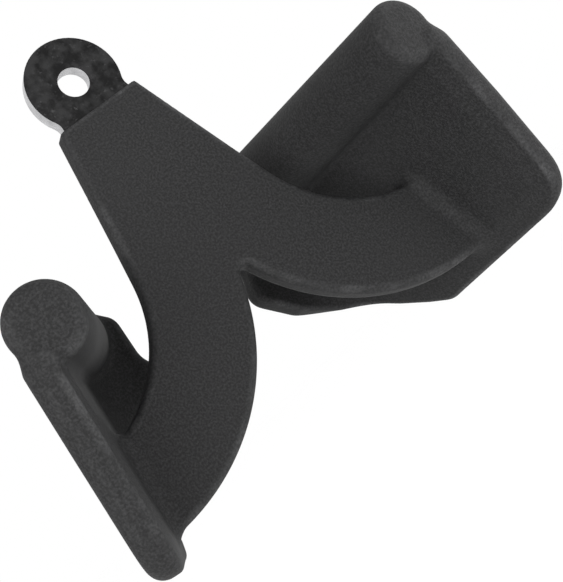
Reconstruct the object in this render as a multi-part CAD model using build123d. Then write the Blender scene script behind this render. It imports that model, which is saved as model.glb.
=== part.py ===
from build123d import *
import math
import os

# Double palm-grip handle for a cable machine: a flat steel wishbone hangs from
# the eye at its top, each of its two arms ends on a leaning palm plate, and a
# round finger bar runs along the top of each palm plate. One rubber skin
# covers everything below the eye.
#
# Frame: origin in the centre of the cable eye, +Z up through the eye, X across
# the two grips, +Y away from the hands' heels towards the thumb flanges.
# All sizes in millimetres.

# eye and neck
EYE_HOLE_RADIUS = 6.5
EYE_RADIUS = 20.0
EYE_NECK_FILLET = 6.0
COAT_LINE = -14.4
NECK_HALF_WIDTH = 19.9
NECK_TAPER = 15.5

# arms
ARM_TOP_RADIUS = 59.7
ARM_TOP_CENTRE_Z = -62.7
ARM_UNDER_RADIUS = 91.8
ARM_UNDER_CENTRE = (88.2, -70.2)
ARM_END_X = 106.0
CROTCH_RADIUS = 3.0

# thicknesses
LUG_STEEL = 6.35
ARM_COATED = 11.0
PALM_STEEL = 4.8
PALM_COATED = 13.5
EDGE_ROUND = 3.3

# grip frame: the bar's near end, its toe-in and rise, the palm's lean, and how
# far outside the bar's axis the palm plate's middle lies
BAR_NEAR_END = (90.6, -68.8, -78.0)
TOE_IN = 13.8
BAR_RISE = 2.1
PALM_LEAN = 10.4
PALM_OUTWARD = 8.5

# finger bar: the coating swells towards the far end, the tube inside does not
BAR_RADIUS = 14.2
BAR_TAPER = 0.023
TUBE_RADIUS = 12.0
TUBE_WALL = 2.5
END_DISC = 3.0
BAR_END_ROUND = 4.5
TUBE_START = 2.5

# palm plate, in the grip frame: along the bar, down the plate
NEAR_TOP = (-2.2, 6.7)
NEAR_MIDDLE = (3.0, 45.0)
TAIL_NEAR = (11.2, 93.9)
TAIL_FAR = (105.0, 103.2)
HOLLOW = (135.0, 87.5)
FAR_LOW = (156.0, 70.5)
UNDER_BAR = (108.0, -4.0)
TAIL_NEAR_CORNER = 20.0
TAIL_FAR_CORNER = 12.0

# thumb flange: the far end of the palm plate curls inwards. Its free edge is
# given in the grip frame as outwards and down the plate
CURL_START = 131.5
CURL_RADIUS = 27.6
FLANGE_EDGE = [(-4.0, -10.3), (-23.4, -3.0), (-24.2, 22.0), (-35.2, 34.0),
               (-22.2, 55.5), (-6.0, 71.5)]
FLANGE_CORNER = 7.0

# weld beads: leg, depth of the root under the tube's surface, and where they
# start and stop down the arm and along the bar
WELD_LEG = 3.0
WELD_ROOT = 0.8
ARM_WELD_TOP = -127.0
ARM_WELD_LOW = -156.0
BAR_WELD_START = 8.0
BAR_WELD_END = 128.0

COAT_SIDE = (ARM_COATED - LUG_STEEL) / 2
PALM_COAT = (PALM_COATED - PALM_STEEL) / 2
REACH = 200.0


def grip_plane():
    """Frame of the right grip: x along the bar, y outwards, z down the palm."""
    toe = math.radians(TOE_IN)
    lean = math.radians(PALM_LEAN)
    rise = math.radians(BAR_RISE)
    level = Vector(-math.sin(toe), math.cos(toe), 0)
    along = level * math.cos(rise) + Vector(0, 0, 1) * math.sin(rise)
    outward = Vector(math.cos(toe), math.sin(toe), 0)
    down = outward * math.sin(lean) - outward.cross(along) * math.cos(lean)
    return Plane(origin=BAR_NEAR_END, x_dir=along, z_dir=down)


def to_grip(solid):
    return grip_plane().location * solid


def wishbone_half(inset, top):
    """Right half of the wishbone, from the height top down, moved in by inset."""
    taper = math.radians(NECK_TAPER)
    upper = ARM_TOP_RADIUS + inset
    under = ARM_UNDER_RADIUS - inset
    neck = NECK_HALF_WIDTH - inset / math.cos(taper)
    drop = math.tan(taper)
    top_x = NECK_HALF_WIDTH + ARM_TOP_RADIUS / math.cos(taper)
    top_x += (COAT_LINE - ARM_TOP_CENTRE_Z) * drop
    tangent = (top_x - upper * math.cos(taper), ARM_TOP_CENTRE_Z - upper * math.sin(taper))
    arm_top = (top_x, ARM_TOP_CENTRE_Z - upper)
    cx, cz = ARM_UNDER_CENTRE
    arm_low = (ARM_END_X, cz - math.sqrt(under ** 2 - (ARM_END_X - cx) ** 2))
    crotch = (0, cz - math.sqrt(under ** 2 - cx ** 2))
    start = (neck + (COAT_LINE - top) * drop, top)
    with BuildSketch(Plane.XZ) as half:
        with BuildLine():
            Line((0, top), start)
            Line(start, tangent)
            RadiusArc(tangent, arm_top, -upper)
            Line(arm_top, (ARM_END_X, arm_top[1]))
            Line((ARM_END_X, arm_top[1]), arm_low)
            RadiusArc(arm_low, crotch, under)
            Line(crotch, (0, top))
        make_face()
    return half.sketch


def wishbone(inset, thickness, top):
    """Both halves as a flat plate, with the crotch between the arms rounded."""
    half = wishbone_half(inset, top)
    outline = half + mirror(half, about=Plane.YZ)
    crotch = [v for v in outline.vertices() if abs(v.X) < 0.01 and v.Z < COAT_LINE - 20]
    outline = fillet(crotch, CROTCH_RADIUS + inset)
    return extrude(outline, thickness / 2, both=True)


def inner_side(offset):
    """Everything on the hand's side of the palm plate and its curled far end."""
    line_y = PALM_OUTWARD + offset
    radius = CURL_RADIUS + offset
    far_x = CURL_START + radius
    centre_y = PALM_OUTWARD - CURL_RADIUS
    with BuildSketch() as section:
        with BuildLine():
            Line((-REACH, -REACH), (-REACH, line_y))
            Line((-REACH, line_y), (CURL_START, line_y))
            RadiusArc((CURL_START, line_y), (far_x, centre_y), radius)
            Line((far_x, centre_y), (far_x, -REACH))
            Line((far_x, -REACH), (-REACH, -REACH))
        make_face()
    return extrude(section.sketch, REACH, both=True)


def flat_zone():
    """Everything on the near side of where the palm plate starts to curl."""
    return Pos(CURL_START - REACH, 0, 0) * Box(2 * REACH, 4 * REACH, 4 * REACH)


def palm_outline(inset):
    """Prism of the palm plate's outline, looking square onto the palm."""
    corners = [NEAR_TOP, NEAR_MIDDLE, TAIL_NEAR, TAIL_FAR, HOLLOW, FAR_LOW,
               (REACH, FAR_LOW[1] - 4), (REACH, -BAR_RADIUS), (CURL_START, -BAR_RADIUS),
               UNDER_BAR]
    face = make_face(Plane.XZ * Polyline(*corners, close=True))
    for tail, radius in ((TAIL_NEAR, TAIL_NEAR_CORNER), (TAIL_FAR, TAIL_FAR_CORNER)):
        corner = face.vertices().sort_by_distance((tail[0], 0, tail[1]))[0]
        face = fillet(corner, radius)
    face = offset(face, -inset) if inset else face
    return extrude(face, REACH, both=True)


def flange_outline(inset):
    """Prism of the thumb flange's free edge, looking along the finger bar."""
    corners = [(REACH, -BAR_RADIUS)] + FLANGE_EDGE + [(0, REACH), (REACH, REACH)]
    face = make_face(Plane.YZ * Polyline(*corners, close=True))
    free = [v for v in face.vertices() if FLANGE_EDGE[0][1] + 1 < v.Z < FLANGE_EDGE[-1][1] - 1]
    face = fillet(free, FLANGE_CORNER)
    face = offset(face, -inset) if inset else face
    return extrude(face, 2 * REACH, dir=(1, 0, 0)) + flat_zone()


def palm_sheet(thickness, inset):
    """The palm plate with its curled thumb flange, in the grip frame."""
    sheet = inner_side(thickness / 2) - inner_side(-thickness / 2)
    return sheet & palm_outline(inset) & flange_outline(inset)


def rod(radius, start):
    """Round rod on the axis of the finger bar, longer than the grip."""
    return extrude(Plane.YZ.offset(start) * Circle(radius), 2 * REACH, dir=(1, 0, 0))


def tapered_rod():
    """The coated bar's shape before its far end is trimmed, wider at the far end."""
    far_radius = BAR_RADIUS + BAR_TAPER * CURL_START
    cone = Cone(BAR_RADIUS, far_radius, CURL_START, align=(Align.CENTER, Align.CENTER, Align.MIN))
    return Plane.YZ * cone + extrude(Plane.YZ.offset(CURL_START) * Circle(far_radius),
                                     REACH, dir=(1, 0, 0))


def against_flange(bar, offset):
    """The bar, ended where it meets the curled flange."""
    return bar & (inner_side(offset) + flat_zone())


def palm_plate():
    """Steel palm plate, coped along its top to sit against the tube."""
    return palm_sheet(PALM_STEEL, PALM_COAT) - (rod(TUBE_RADIUS, -REACH) & flat_zone())


def grip_shell():
    """Outside of one grip: coated palm plate, flange and bar, in the grip frame."""
    bar = against_flange(tapered_rod(), 0)
    rim = bar.edges().filter_by(GeomType.CIRCLE).sort_by(Axis.X)[0]
    return palm_sheet(PALM_COATED, 0) + fillet(rim, BAR_END_ROUND)


def on_palm_face(y, z):
    """Point of the steel palm plate's inner face at a given Y and Z."""
    frame = grip_plane()
    face_point = frame.origin + frame.y_dir * (PALM_OUTWARD - PALM_STEEL / 2)
    slip = (y - face_point.Y) * frame.y_dir.Y + (z - face_point.Z) * frame.y_dir.Z
    return Vector(face_point.X - slip / frame.y_dir.X, y, z)


def wedge(corner, leg_a, leg_b, run):
    """Weld bead of triangular section, laid from corner along the vector run."""
    section = make_face(Polyline(corner, corner + leg_a, corner + leg_b, close=True))
    return extrude(section, run.length, dir=run.normalized())


def arm_weld():
    """Two beads, one down each face of the arm where it meets the palm plate."""
    normal = grip_plane().y_dir
    beads = []
    for side in (-1, 1):
        face_y = side * LUG_STEEL / 2
        start = on_palm_face(face_y, ARM_WELD_TOP)
        run = on_palm_face(face_y, ARM_WELD_LOW) - start
        joint = run.normalized()
        along_arm = joint.cross(Vector(0, 1, 0)).normalized()
        along_arm = along_arm * math.copysign(WELD_LEG, -along_arm.X)
        along_palm = joint.cross(normal).normalized()
        along_palm = along_palm * math.copysign(WELD_LEG, side * along_palm.Y)
        beads.append(wedge(start, along_arm, along_palm, run))
    return beads


def bar_weld():
    """Beads inside and outside the seam between the tube and the palm plate."""
    tube_solid = extrude(Plane.YZ * Circle(TUBE_RADIUS), REACH, dir=(1, 0, 0))
    run = Vector(BAR_WELD_END - BAR_WELD_START, 0, 0)
    beads = []
    for side in (-1, 1):
        face_y = PALM_OUTWARD + side * PALM_STEEL / 2
        seam_z = math.sqrt(TUBE_RADIUS ** 2 - face_y ** 2)
        corner = Vector(BAR_WELD_START, face_y, seam_z)
        round_tube = Vector(0, seam_z, -face_y) * (side * WELD_LEG / TUBE_RADIUS)
        into_tube = Vector(0, -face_y, -seam_z) * (WELD_ROOT / TUBE_RADIUS)
        bead = wedge(corner, Vector(0, 0, WELD_LEG), round_tube + into_tube, run)
        beads.append(bead - tube_solid)
    return beads


def core_plate():
    """Laser-cut steel plate: cable eye, neck and both arms in one piece."""
    neck = wishbone_half(COAT_SIDE, COAT_LINE + EYE_NECK_FILLET)
    outline = neck + mirror(neck, about=Plane.YZ)
    outline += Plane.XZ * Circle(EYE_RADIUS)
    notch = [v for v in outline.vertices() if v.Z > COAT_LINE and abs(v.X) > EYE_HOLE_RADIUS]
    outline = fillet(notch, EYE_NECK_FILLET)
    crotch = [v for v in outline.vertices() if abs(v.X) < 0.01 and v.Z < COAT_LINE]
    outline = fillet(crotch, CROTCH_RADIUS + COAT_SIDE)
    outline -= Plane.XZ * Circle(EYE_HOLE_RADIUS)
    plate = extrude(outline, LUG_STEEL / 2, both=True)
    return between_palms(plate, -PALM_STEEL / 2)


def between_palms(solid, offset):
    """What lies between the two palm plates, cut at an offset from their middle."""
    right = to_grip(inner_side(offset))
    return solid & right & mirror(right, about=Plane.YZ)


def arm_shell():
    """Outside of the coated neck and arms, long edges rounded."""
    shell = wishbone(0, ARM_COATED, COAT_LINE)
    rims = [e for e in shell.edges()
            if abs(abs(e.center().Y) - ARM_COATED / 2) < 0.01
            and e.center().Z < COAT_LINE - 1 and abs(e.center().X) < ARM_END_X - 1]
    return between_palms(fillet(rims, EDGE_ROUND), -PALM_COATED / 2)


def tube_space():
    """What the tube takes up inside the coating, bore and all."""
    return against_flange(rod(TUBE_RADIUS, TUBE_START), -PALM_STEEL / 2)


def tube():
    """Steel tube of the finger bar."""
    return tube_space() - rod(TUBE_RADIUS - TUBE_WALL, -REACH)


def end_disc():
    """Plug welded into the near end of the tube."""
    return extrude(Plane.YZ.offset(TUBE_START) * Circle(TUBE_RADIUS - TUBE_WALL),
                   END_DISC, dir=(1, 0, 0))


def without(solid, others):
    for other in others:
        solid = solid - other
    return solid


# ---------------------------------------------------------------- the pieces
os.makedirs("parts", exist_ok=True)

core = core_plate()
palm = to_grip(palm_plate())
arm_beads = arm_weld()
bar_beads = [to_grip(bead) for bead in bar_weld()]
bar_space = to_grip(tube_space())

right_pieces = {
    "palm_plate": [palm],
    "finger_bar": [to_grip(tube())],
    "end_disc": [to_grip(end_disc())],
    "arm_weld": arm_beads,
    "bar_weld": bar_beads,
    "grip_skin": [without(to_grip(grip_shell()), [core, palm, bar_space] + arm_beads + bar_beads)],
}

arm_skin = without(arm_shell(), [core] + arm_beads)
arm_skin = without(arm_skin, [mirror(bead, about=Plane.YZ) for bead in arm_beads])

nodes = {"core_plate": [core], "arm_skin": [arm_skin]}
for name, solids in right_pieces.items():
    nodes["right_" + name] = solids
    nodes["left_" + name] = [mirror(solid, about=Plane.YZ) for solid in solids]

for name, solids in nodes.items():
    export_step(Compound([piece.solid() for piece in solids]), f"parts/{name}.step")
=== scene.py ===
import math

import bpy
import numpy as np
from mathutils import Matrix, Vector


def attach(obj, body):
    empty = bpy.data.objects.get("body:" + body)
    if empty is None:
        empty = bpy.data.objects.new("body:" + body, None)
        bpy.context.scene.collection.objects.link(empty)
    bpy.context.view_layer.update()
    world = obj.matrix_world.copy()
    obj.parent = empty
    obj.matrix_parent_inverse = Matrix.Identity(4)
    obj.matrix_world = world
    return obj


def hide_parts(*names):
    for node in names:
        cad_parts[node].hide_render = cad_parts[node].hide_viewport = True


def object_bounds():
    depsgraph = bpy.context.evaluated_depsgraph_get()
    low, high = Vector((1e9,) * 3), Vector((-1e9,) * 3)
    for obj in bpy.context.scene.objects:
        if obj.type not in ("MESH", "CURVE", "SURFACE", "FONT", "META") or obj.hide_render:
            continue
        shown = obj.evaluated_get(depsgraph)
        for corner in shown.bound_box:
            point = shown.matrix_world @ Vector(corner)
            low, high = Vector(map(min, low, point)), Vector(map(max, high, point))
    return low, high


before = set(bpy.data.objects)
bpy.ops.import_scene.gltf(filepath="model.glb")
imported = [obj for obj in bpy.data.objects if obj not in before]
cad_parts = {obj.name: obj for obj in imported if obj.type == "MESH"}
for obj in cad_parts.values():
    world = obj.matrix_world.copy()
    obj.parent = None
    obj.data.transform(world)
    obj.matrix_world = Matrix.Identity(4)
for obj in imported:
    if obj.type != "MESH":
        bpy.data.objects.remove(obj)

cad_box = [list(corner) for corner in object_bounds()]

MM = 0.001

# The skin follows the CAD skin's driving sizes, in millimetres.
# The neck's outline runs on by NECK_EXCESS over the coat line, which cuts it off.
COAT_LINE = -14.4
NECK_EXCESS = 10.0
NECK_HALF_WIDTH = 19.9
NECK_TAPER = math.radians(15.5)
ARM_TOP_RADIUS = 59.7
ARM_TOP_CENTRE_Z = -62.7
ARM_UNDER_RADIUS = 91.8
ARM_UNDER_CENTRE = (88.2, -70.2)
ARM_END_X = 106.0
CROTCH_RADIUS = 3.0
ARM_HALF = 5.5

# The grip's frame: where the bar starts, and how the grip is turned.
BAR_NEAR_END = (90.6, -68.8, -78.0)
TOE_IN = math.radians(13.8)
BAR_RISE = math.radians(2.1)
PALM_LEAN = math.radians(10.4)

# The palm plate's middle lies PALM_OUTWARD outside the bar's axis. The plate
# curls inwards at its far end.
PALM_OUTWARD = 8.5
PALM_HALF = 6.75
CURL_START = 131.5
CURL_RADIUS = 27.6
CURL_CENTRE_Y = PALM_OUTWARD - CURL_RADIUS

# Palm outline, unrolled flat: along the bar and round the curl, down the palm,
# and the radius of each corner.
PALM_OUTLINE = [(-2.2, 6.7, 8.0), (3.0, 45.0, 40.0), (11.2, 93.9, 23.0), (105.0, 103.1, 12.0),
                (135.0, 87.6, 30.0), (161.4, 70.5, 14.0), (178.0, 55.4, 14.0), (191.0, 34.1, 16.0),
                (180.2, 22.0, 14.0), (179.2, -3.1, 10.0), (159.0, -10.3, 10.0),
                (120.0, -13.5, 4.0), (108.0, -4.0, 4.0)]

# The bar swells by BAR_TAPER per millimetre. From BAR_FLUSH_START on, its outer
# side is planed down until it lies just under the palm plate's outer face.
BAR_RADIUS = 14.2
BAR_TAPER = 0.023
BAR_END_ROUND = 4.7
BAR_FLUSH_START = 50.0
BAR_FLUSH_FROM = BAR_RADIUS + 3.0
BAR_FLUSH_TO = PALM_OUTWARD + PALM_HALF - 0.2
BAR_FLUSH_ROUND = 1.0

# Edge rounding. The arms' long edges soften from NECK_EDGE at the coat line to
# ARM_EDGE at the height ARM_EDGE_LEVEL.
NECK_EDGE = 1.4
ARM_EDGE = 3.3
ARM_EDGE_LEVEL = -62.0
RIM_ROUND = 0.6
PALM_OUTER_EDGE = 6.7
PALM_INNER_EDGE = 2.4

# Shallow bevel inside the palm plate's heel and tail edges. It ends before the
# curl, where it rises out of the plate by BEVEL_FADE per millimetre.
BEVEL_RUN = 11.0
BEVEL_DEPTH = 1.7
BEVEL_END = 100.0
BEVEL_FADE = 0.1
BEVEL = math.atan2(BEVEL_DEPTH, BEVEL_RUN)

# Fillets where the skin's parts meet.
ARM_FILLET = 6.0
BAR_FILLET = 4.0

# Meshing: the skin's grid, the outlines' distance tables, and the reach of the
# differences that give a field's slope and bend.
SKIN_STEP = 1.0
SKIN_MARGIN = 4.0
FIELD_STEP = 0.5
FIELD_MARGIN = 30.0
SLOPE_REACH = 0.25
BEND_REACH = 2.0


# ---------------------------------------------------------------- outlines
def rounded_outline(corners, arc_steps=10):
    """Closed polygon whose corners (u, v, radius) are turned into arcs."""
    points = []
    count = len(corners)
    for i, (u, v, radius) in enumerate(corners):
        here = np.array((u, v))
        before = np.array(corners[i - 1][:2]) - here
        after = np.array(corners[(i + 1) % count][:2]) - here
        before_len, after_len = np.linalg.norm(before), np.linalg.norm(after)
        before, after = before / before_len, after / after_len
        half = math.acos(np.clip(before @ after, -1, 1)) / 2
        reach = min(radius / math.tan(half), 0.48 * before_len, 0.48 * after_len)
        start, end = here + before * reach, here + after * reach
        for t in np.linspace(0, 1, arc_steps):
            # a quadratic curve stands in for the arc: same ends, same tangents
            points.append((1 - t) ** 2 * start + 2 * t * (1 - t) * here + t ** 2 * end)
    return np.array(points)


def arc(centre, radius, start, end, steps):
    """Points on an arc from one angle to another."""
    angles = np.linspace(start, end, steps)
    return np.column_stack((centre[0] + radius * np.cos(angles),
                            centre[1] + radius * np.sin(angles)))


def wishbone_outline():
    """Neck and both arms, seen square on, as a closed polygon in X and Z."""
    above = COAT_LINE + NECK_EXCESS
    drop = math.tan(NECK_TAPER)
    top_x = NECK_HALF_WIDTH + ARM_TOP_RADIUS / math.cos(NECK_TAPER)
    top_x += (COAT_LINE - ARM_TOP_CENTRE_Z) * drop
    upper = arc((top_x, ARM_TOP_CENTRE_Z), ARM_TOP_RADIUS,
                math.pi + NECK_TAPER, 1.5 * math.pi, 40)
    # the crotch is a small arc, tangent to the undersides of both arms
    under_x, under_z = ARM_UNDER_CENTRE
    crotch_z = under_z - math.sqrt((ARM_UNDER_RADIUS + CROTCH_RADIUS) ** 2 - under_x ** 2)
    meet = math.atan2(crotch_z - under_z, -under_x)
    under = arc(ARM_UNDER_CENTRE, ARM_UNDER_RADIUS,
                -math.acos((ARM_END_X - under_x) / ARM_UNDER_RADIUS), meet, 60)
    crotch = arc((0, crotch_z), CROTCH_RADIUS, meet + math.pi, 0.5 * math.pi, 10)
    right = np.vstack(([(NECK_HALF_WIDTH + (COAT_LINE - above) * drop, above)], upper,
                       [(ARM_END_X, upper[-1][1])], under, crotch))
    return np.vstack((right, right[::-1] * (-1, 1)))


def polygon_distance(polygon, u, v):
    """Signed distance of the points (u, v) to a closed polygon, negative inside."""
    nearest = np.full(u.shape, np.inf)
    inside = np.zeros(u.shape, bool)
    for (au, av), (bu, bv) in zip(polygon, np.roll(polygon, -1, axis=0)):
        du, dv = bu - au, bv - av
        length = du * du + dv * dv
        if length < 1e-9:
            continue
        t = np.clip(((u - au) * du + (v - av) * dv) / length, 0, 1)
        nearest = np.minimum(nearest, (u - au - t * du) ** 2 + (v - av - t * dv) ** 2)
        if dv:
            crosses = (av > v) != (bv > v)
            inside ^= crosses & (u < au + (v - av) * du / dv)
    return np.where(inside, -1, 1) * np.sqrt(nearest)


class Outline:
    """A flat outline whose signed distance is looked up from a fine table."""

    def __init__(self, polygon):
        self.low = polygon.min(0) - FIELD_MARGIN
        size = polygon.max(0) + FIELD_MARGIN - self.low
        counts = (size / FIELD_STEP).astype(int) + 2
        u, v = np.meshgrid(self.low[0] + FIELD_STEP * np.arange(counts[0]),
                           self.low[1] + FIELD_STEP * np.arange(counts[1]), indexing="ij")
        self.table = polygon_distance(polygon, u, v)

    def __call__(self, u, v):
        gu = np.clip((u - self.low[0]) / FIELD_STEP, 0, self.table.shape[0] - 1.001)
        gv = np.clip((v - self.low[1]) / FIELD_STEP, 0, self.table.shape[1] - 1.001)
        iu, iv = gu.astype(np.int32), gv.astype(np.int32)
        fu, fv = gu - iu, gv - iv
        table = self.table
        return ((table[iu, iv] * (1 - fu) + table[iu + 1, iv] * fu) * (1 - fv)
                + (table[iu, iv + 1] * (1 - fu) + table[iu + 1, iv + 1] * fu) * fv)


# ---------------------------------------------------------------- fields
def rounded_both(a, b, radius):
    """Where both fields are inside, with the edge between them rounded."""
    a, b = a + radius, b + radius
    return np.minimum(np.maximum(a, b), 0) + np.hypot(np.maximum(a, 0), np.maximum(b, 0)) - radius


def filleted_either(a, b, radius):
    """Where either field is inside, with a fillet in the corner between them."""
    near_a, near_b = np.maximum(radius - a, 0), np.maximum(radius - b, 0)
    return np.maximum(radius, np.minimum(a, b)) - np.hypot(near_a, near_b)


def grip_axes():
    """Unit vectors of the right grip: along the bar, outwards, down the palm."""
    level = np.array((-math.sin(TOE_IN), math.cos(TOE_IN), 0))
    up = np.array((0, 0, 1.0))
    along = level * math.cos(BAR_RISE) + up * math.sin(BAR_RISE)
    outward = np.array((math.cos(TOE_IN), math.sin(TOE_IN), 0))
    down = outward * math.sin(PALM_LEAN) - np.cross(outward, along) * math.cos(PALM_LEAN)
    return along, np.cross(down, along), down


GRIP_ORIGIN = np.array(BAR_NEAR_END)
GRIP_AXES = grip_axes()
WISHBONE = Outline(wishbone_outline())
PALM = Outline(rounded_outline(PALM_OUTLINE))


def along_plate(x, y):
    """Where a point lies once the curled plate is unrolled: along, and outwards."""
    past = np.maximum(x - CURL_START, 0)
    off_centre = np.hypot(past, y - CURL_CENTRE_Y)
    angle = np.arctan2(past, y - CURL_CENTRE_Y)
    # past a quarter turn the plate runs straight on
    straight_on = y < CURL_CENTRE_Y
    turned = CURL_RADIUS * np.minimum(angle, math.pi / 2)
    beyond = np.where(straight_on, CURL_CENTRE_Y - y, 0)
    along = np.where(past > 0, CURL_START + turned + beyond, x)
    curled = np.where(straight_on, past - CURL_RADIUS, off_centre - CURL_RADIUS)
    outwards = np.where(past > 0, curled, y - PALM_OUTWARD)
    return along, outwards


def palm_field(x, y, z):
    """Palm plate with its thumb flange, in the grip's own frame."""
    along, outwards = along_plate(x, y)
    outline = PALM(along, z)
    bevel = (outline + BEVEL_RUN) * math.sin(BEVEL) - (outwards + PALM_HALF) * math.cos(BEVEL)
    bevel = bevel - BEVEL_FADE * np.maximum(along - BEVEL_END, 0)
    inner = rounded_both(outline, np.maximum(bevel, -outwards - PALM_HALF), PALM_INNER_EDGE)
    outer = rounded_both(outline, outwards - PALM_HALF, PALM_OUTER_EDGE)
    return np.where(outwards < 0, inner, outer)


def bar_field(x, y, z):
    """Finger bar, in the grip's own frame."""
    radius = BAR_RADIUS + BAR_TAPER * np.clip(x, 0, CURL_START)
    bar = rounded_both(np.hypot(y, z) - radius, -x, BAR_END_ROUND)
    past = np.maximum(x - CURL_START, 0)
    outer_side = np.where(past > 0, np.hypot(past, y - CURL_CENTRE_Y) + CURL_CENTRE_Y, y)
    flush = np.interp(x, (BAR_FLUSH_START, CURL_START), (BAR_FLUSH_FROM, BAR_FLUSH_TO))
    return rounded_both(bar, outer_side - flush, BAR_FLUSH_ROUND)


def grip_field(x, y, z):
    """Palm plate and finger bar together, in the grip's own frame."""
    return filleted_either(palm_field(x, y, z), bar_field(x, y, z), BAR_FILLET)


def skin_field(x, y, z):
    """Signed distance to the whole skin, in millimetres; both halves are alike."""
    x = np.abs(x)
    edge = np.interp(-z, (-COAT_LINE, -ARM_EDGE_LEVEL), (NECK_EDGE, ARM_EDGE))
    arms = rounded_both(WISHBONE(x, z), np.abs(y) - ARM_HALF, edge)
    arms = rounded_both(arms, z - COAT_LINE, RIM_ROUND)
    local = [(x - GRIP_ORIGIN[0]) * axis[0] + (y - GRIP_ORIGIN[1]) * axis[1]
             + (z - GRIP_ORIGIN[2]) * axis[2] for axis in GRIP_AXES]
    arms = np.maximum(arms, local[1] - PALM_OUTWARD)
    return filleted_either(arms, grip_field(*local), ARM_FILLET)


# ---------------------------------------------------------------- meshing
def surface_net(field, low, high, step):
    """Vertices and quads of the field's zero surface, one vertex per mixed cell."""
    axes = [np.arange(a, b + step, step) for a, b in zip(low, high)]
    values = np.empty([len(a) for a in axes], np.float32)
    for i, x in enumerate(axes[0]):
        y, z = np.meshgrid(axes[1], axes[2], indexing="ij")
        values[i] = field(np.full(y.shape, x), y, z)
    inside = values < 0
    cell_shape = [n - 1 for n in values.shape]
    total = np.zeros(cell_shape + [3], np.float32)
    count = np.zeros(cell_shape, np.int8)
    corners = [(i, j, k) for i in (0, 1) for j in (0, 1) for k in (0, 1)]

    def at(array, corner):
        return array[tuple(slice(c, c + n) for c, n in zip(corner, cell_shape))]

    for corner in corners:
        for axis in range(3):
            if corner[axis]:
                continue
            other = tuple(1 if i == axis else c for i, c in enumerate(corner))
            mixed = at(inside, corner) != at(inside, other)
            a, b = at(values, corner)[mixed], at(values, other)[mixed]
            point = np.tile(np.array(corner, np.float32), (len(a), 1))
            point[:, axis] = a / (a - b)
            total[mixed] += point
            count[mixed] += 1
    cells = np.argwhere(count > 0)
    number = np.full(cell_shape, -1, np.int32)
    number[tuple(cells.T)] = np.arange(len(cells))
    place = cells + total[tuple(cells.T)] / count[tuple(cells.T)][:, None]
    points = np.array(low) + place * step

    quads = []
    for axis in range(3):
        side_a, side_b = (axis + 1) % 3, (axis + 2) % 3
        here = [slice(1, n) for n in cell_shape]
        here[axis] = slice(0, cell_shape[axis])
        ahead = list(here)
        ahead[axis] = slice(1, cell_shape[axis] + 1)
        first, second = inside[tuple(here)], inside[tuple(ahead)]
        for solid_first in (True, False):
            edges = np.argwhere((first & ~second) if solid_first else (~first & second))
            edges += np.array([0 if i == axis else 1 for i in range(3)])
            ring = []
            for da, db in ((-1, -1), (0, -1), (0, 0), (-1, 0)):
                cell = edges.copy()
                cell[:, side_a] += da
                cell[:, side_b] += db
                ring.append(number[tuple(cell.T)])
            ring = np.column_stack(ring)
            quads.append(ring if solid_first else ring[:, ::-1])
    return points, np.vstack(quads)


def gradient(field, points, reach):
    """Slope of the field at each point, by central differences."""
    steps = np.eye(3) * reach
    return np.column_stack([
        field(*(points + step).T) - field(*(points - step).T) for step in steps]) / (2 * reach)


def settle_on(field, points, rounds):
    """Newton steps that bring the points onto the field's zero surface."""
    flattest = 0.2
    for _ in range(rounds):
        slope = gradient(field, points, SLOPE_REACH)
        steep = np.maximum((slope ** 2).sum(1), flattest)
        shift = (field(*points.T) / steep)[:, None] * slope
        points = points - np.clip(shift, -SKIN_STEP, SKIN_STEP)
    return points


def bend(field, points, reach):
    """How convex (positive) or concave (negative) the surface is at each point."""
    around = -6 * field(*points.T)
    for step in np.eye(3) * reach:
        around += field(*(points + step).T) + field(*(points - step).T)
    return around / reach ** 2


def mesh_object(name, points, quads):
    """Smooth-shaded object made of quads, from points in millimetres."""
    mesh = bpy.data.meshes.new(name)
    mesh.vertices.add(len(points))
    mesh.vertices.foreach_set("co", (points * MM).astype(np.float32).ravel())
    mesh.loops.add(quads.size)
    mesh.loops.foreach_set("vertex_index", quads.astype(np.int32).ravel())
    mesh.polygons.add(len(quads))
    mesh.polygons.foreach_set("loop_start", np.arange(0, quads.size, 4, dtype=np.int32))
    mesh.update(calc_edges=True)
    mesh.validate()
    mesh.shade_smooth()
    piece = bpy.data.objects.new(name, mesh)
    bpy.context.scene.collection.objects.link(piece)
    return piece


def build_skin():
    """The whole rubber skin as one mesh, with its bend kept for the material."""
    low = np.array(cad_box[0]) / MM - SKIN_MARGIN
    high = np.array(cad_box[1]) / MM + SKIN_MARGIN
    high[0] = math.ceil(high[0] / SKIN_STEP) * SKIN_STEP
    low[0] = -high[0]
    high[2] = COAT_LINE + SKIN_MARGIN
    points, quads = surface_net(skin_field, low, high, SKIN_STEP)
    points = settle_on(skin_field, points, 3)
    skin = mesh_object("rubber_skin", points, quads)
    bent = skin.data.attributes.new("bend", "FLOAT", "POINT")
    bent.data.foreach_set("value", bend(skin_field, points, BEND_REACH).astype(np.float32))
    return skin


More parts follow.
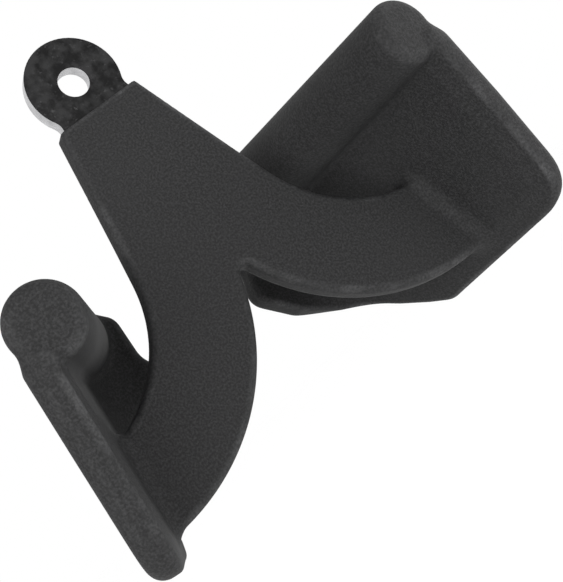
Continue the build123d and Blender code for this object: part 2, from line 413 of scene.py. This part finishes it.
# ---------------------------------------------------------------- materials
class Nodes:
    """Short calls for building a node material."""

    def __init__(self, name):
        self.material = bpy.data.materials.new(name)
        self.material.use_nodes = True
        self.tree = self.material.node_tree
        self.shader = self.tree.nodes["Principled BSDF"]

    def add(self, kind, inputs=None, **settings):
        node = self.tree.nodes.new(kind)
        for key, value in settings.items():
            setattr(node, key, value)
        for key, value in (inputs or {}).items():
            self.plug(value, node.inputs[key])
        return node

    def plug(self, value, socket):
        if isinstance(value, bpy.types.NodeSocket):
            self.tree.links.new(value, socket)
        else:
            socket.default_value = value

    def noise(self, scale, detail=3.0, roughness=0.55):
        position = self.add("ShaderNodeTexCoord").outputs["Object"]
        return self.add("ShaderNodeTexNoise", {"Vector": position, "Scale": scale,
                                               "Detail": detail, "Roughness": roughness}).outputs["Fac"]

    def ramp(self, value, low, high, to_low=0.0, to_high=1.0):
        return self.add("ShaderNodeMapRange", {"Value": value, "From Min": low, "From Max": high,
                                               "To Min": to_low, "To Max": to_high}).outputs["Result"]

    def math(self, operation, a, b):
        return self.add("ShaderNodeMath", {0: a, 1: b}, operation=operation).outputs[0]

    def mix(self, factor, a, b):
        node = self.add("ShaderNodeMix", data_type="RGBA")
        self.plug(factor, node.inputs["Factor"])
        self.plug(a, node.inputs["A"])
        self.plug(b, node.inputs["B"])
        return node.outputs["Result"]

    def bump(self, height, strength, distance, below=None):
        node = self.add("ShaderNodeBump", {"Height": height, "Strength": strength,
                                           "Distance": distance})
        if below:
            self.tree.links.new(below, node.inputs["Normal"])
        return node.outputs["Normal"]


def grey(level):
    """Grey with a trace of blue, as a linear colour."""
    return (level, level, level * 1.02, 1.0)


def rubber_material():
    """Matt moulded rubber: pebble grain, cloudy tone, dust specks and a painted highlight on the rubbed
    edges.
    """
    nodes = Nodes("skin_rubber")
    cloud = nodes.noise(18.0, 4.0)
    grain = nodes.noise(1100.0, 2.0)
    speck = nodes.noise(800.0, 3.0, 0.7)
    bent = nodes.add("ShaderNodeAttribute", attribute_name="bend").outputs["Fac"]
    # Convex edges, taken from the kept bend, mask a painted ridge highlight with dust specks on it.
    edge = nodes.ramp(bent, 0.10, 0.42)
    tone = nodes.mix(nodes.ramp(cloud, 0.35, 0.65), grey(0.008), grey(0.011))
    tone = nodes.mix(nodes.ramp(grain, 0.40, 0.70), tone, grey(0.023))
    # Pale grey along the ridges: a steady painted highlight band, brighter where the dust specks fall.
    dust_and_highlight = nodes.math("MULTIPLY", edge, nodes.ramp(speck, 0.40, 0.66, 0.25, 1.0))
    patch = nodes.ramp(nodes.noise(55.0, 2.0), 0.45, 0.62, 0.2, 0.75)
    tone = nodes.mix(nodes.math("MULTIPLY", dust_and_highlight, patch), tone, grey(0.065))
    nodes.plug(tone, nodes.shader.inputs["Base Color"])
    nodes.plug(nodes.ramp(cloud, 0.3, 0.7, 0.66, 0.76), nodes.shader.inputs["Roughness"])
    nodes.shader.inputs["Specular IOR Level"].default_value = 0.16
    coarse = nodes.bump(nodes.noise(500.0, 2.0), 0.3, 0.0005)
    fine = nodes.bump(grain, 0.5, 0.0003, coarse)
    nodes.plug(fine, nodes.shader.inputs["Normal"])
    return nodes.material


def eye_material():
    """Mottled black finish on the faces, bare steel where the plate was cut."""
    nodes = Nodes("eye_steel")
    normal = nodes.add("ShaderNodeNewGeometry").outputs["Normal"]
    across = nodes.add("ShaderNodeSeparateXYZ", {"Vector": normal}).outputs["Y"]
    face = nodes.ramp(nodes.math("ABSOLUTE", across, 0.0), 0.60, 0.92)
    blotch = nodes.noise(160.0, 5.0, 0.6)
    scuff = nodes.noise(520.0, 3.0, 0.7)
    black = nodes.mix(nodes.ramp(blotch, 0.42, 0.60), grey(0.004), grey(0.016))
    black = nodes.mix(nodes.ramp(scuff, 0.60, 0.78), black, grey(0.045))
    steel = nodes.mix(nodes.ramp(blotch, 0.35, 0.65), grey(0.36), grey(0.55))
    nodes.plug(nodes.mix(face, steel, black), nodes.shader.inputs["Base Color"])
    nodes.plug(nodes.ramp(blotch, 0.35, 0.65, 0.28, 0.45), nodes.shader.inputs["Roughness"])
    nodes.plug(nodes.ramp(face, 0.0, 1.0, 0.8, 0.0), nodes.shader.inputs["Metallic"])
    nodes.shader.inputs["Specular IOR Level"].default_value = 0.12
    nodes.plug(nodes.bump(blotch, 0.25, 0.0005), nodes.shader.inputs["Normal"])
    return nodes.material


def inner_steel_material(name, low, high, scale):
    """Mill-finish steel of the sealed pieces."""
    nodes = Nodes(name)
    streak = nodes.noise(scale, 4.0)
    nodes.plug(nodes.mix(streak, grey(low), grey(high)), nodes.shader.inputs["Base Color"])
    nodes.plug(nodes.ramp(streak, 0.3, 0.7, 0.35, 0.55), nodes.shader.inputs["Roughness"])
    nodes.shader.inputs["Metallic"].default_value = 1.0
    nodes.plug(nodes.bump(streak, 0.3, 0.0003), nodes.shader.inputs["Normal"])
    return nodes.material


def floor_material():
    """Plain matt white."""
    nodes = Nodes("floor_white")
    nodes.shader.inputs["Base Color"].default_value = (1.0, 1.0, 1.0, 1.0)
    nodes.shader.inputs["Roughness"].default_value = 0.9
    nodes.shader.inputs["Specular IOR Level"].default_value = 0.1
    return nodes.material


def give_material(piece, material):
    """Replace whatever materials the piece has."""
    piece.data.materials.clear()
    piece.data.materials.append(material)


# ---------------------------------------------------------------- stage
# The camera's place in metres from the eye, and how it is turned there.
EYE_TO_CAMERA = Vector((-0.17737, -0.43628, -0.13284))
CAMERA_HEADING = math.radians(22.92)
CAMERA_PITCH = math.radians(1.62)
CAMERA_ROLL = math.radians(42.32)
CAMERA_LENS = 71.81

# The lights stand around the object's middle: name, direction and power in watts.
LIGHTS = [("key", (-0.8, -0.8, 0.05), 6.8),
          ("front", (0, -1, 0), 2.6),
          ("side", (1, -0.15, 0.1), 4.8),
          ("low_fill", (0.6, -0.9, -0.33), 2.4)]
LIGHT_DISTANCE = 1.0
LIGHT_SIZE = 0.6

# The floor lies this far below the object.
FLOOR_DROP = 0.25
FLOOR_HALF = 6.0


def camera_matrix():
    """Camera at its place, looking along its heading, rolled about its view."""
    forward = Vector((math.sin(CAMERA_HEADING) * math.cos(CAMERA_PITCH),
                      math.cos(CAMERA_HEADING) * math.cos(CAMERA_PITCH),
                      math.sin(CAMERA_PITCH)))
    level = Vector((math.cos(CAMERA_HEADING), -math.sin(CAMERA_HEADING), 0))
    upright = level.cross(forward)
    right = level * math.cos(CAMERA_ROLL) - upright * math.sin(CAMERA_ROLL)
    up = right.cross(forward)
    turn = Matrix((right, up, -forward)).transposed().to_4x4()
    return Matrix.Translation(EYE_TO_CAMERA) @ turn


def add_camera():
    """The scene's camera, standing where the object was looked at from."""
    data = bpy.data.cameras.new("camera")
    data.lens = CAMERA_LENS
    data.clip_start = 0.01
    data.clip_end = 50
    camera = bpy.data.objects.new("camera", data)
    camera.matrix_world = camera_matrix()
    bpy.context.scene.collection.objects.link(camera)
    bpy.context.scene.camera = camera


def add_light(name, direction, power):
    """Square soft light in the given direction from the object's middle."""
    data = bpy.data.lights.new(name, "AREA")
    data.size = LIGHT_SIZE
    data.energy = power
    light = bpy.data.objects.new(name, data)
    middle = sum((Vector(corner) for corner in cad_box), Vector()) / 2
    away = Vector(direction).normalized()
    light.location = middle + away * LIGHT_DISTANCE
    light.rotation_euler = away.to_track_quat("Z", "Y").to_euler()
    bpy.context.scene.collection.objects.link(light)


def add_floor():
    """White floor under the object, which hangs above it."""
    level = cad_box[0][2] - FLOOR_DROP
    corners = [(x * FLOOR_HALF, y * FLOOR_HALF, level) for x, y in ((-1, -1), (1, -1), (1, 1), (-1, 1))]
    mesh = bpy.data.meshes.new("floor")
    mesh.from_pydata(corners, [], [(0, 1, 2, 3)])
    floor = bpy.data.objects.new("floor", mesh)
    bpy.context.scene.collection.objects.link(floor)
    give_material(floor, floor_material())


def add_world():
    """Even white surroundings."""
    world = bpy.data.worlds.new("world")
    world.use_nodes = True
    background = world.node_tree.nodes["Background"]
    background.inputs["Color"].default_value = (1, 1, 1, 1)
    background.inputs["Strength"].default_value = 1.0
    bpy.context.scene.world = world


# ---------------------------------------------------------------- making
add_camera()
add_world()
add_floor()
bpy.context.scene.view_settings.view_transform = "Standard"
for name, direction, power in LIGHTS:
    add_light(name, direction, power)

skin = build_skin()
give_material(skin, rubber_material())
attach(skin, "root")
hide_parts("arm_skin", "right_grip_skin", "left_grip_skin")

plain_steel = inner_steel_material("mill_steel", 0.30, 0.50, 60.0)
weld_steel = inner_steel_material("weld_steel", 0.20, 0.38, 220.0)
for name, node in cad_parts.items():
    if name.endswith("_skin"):
        continue
    give_material(node, weld_steel if name.endswith("_weld") else plain_steel)
give_material(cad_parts["core_plate"], eye_material())
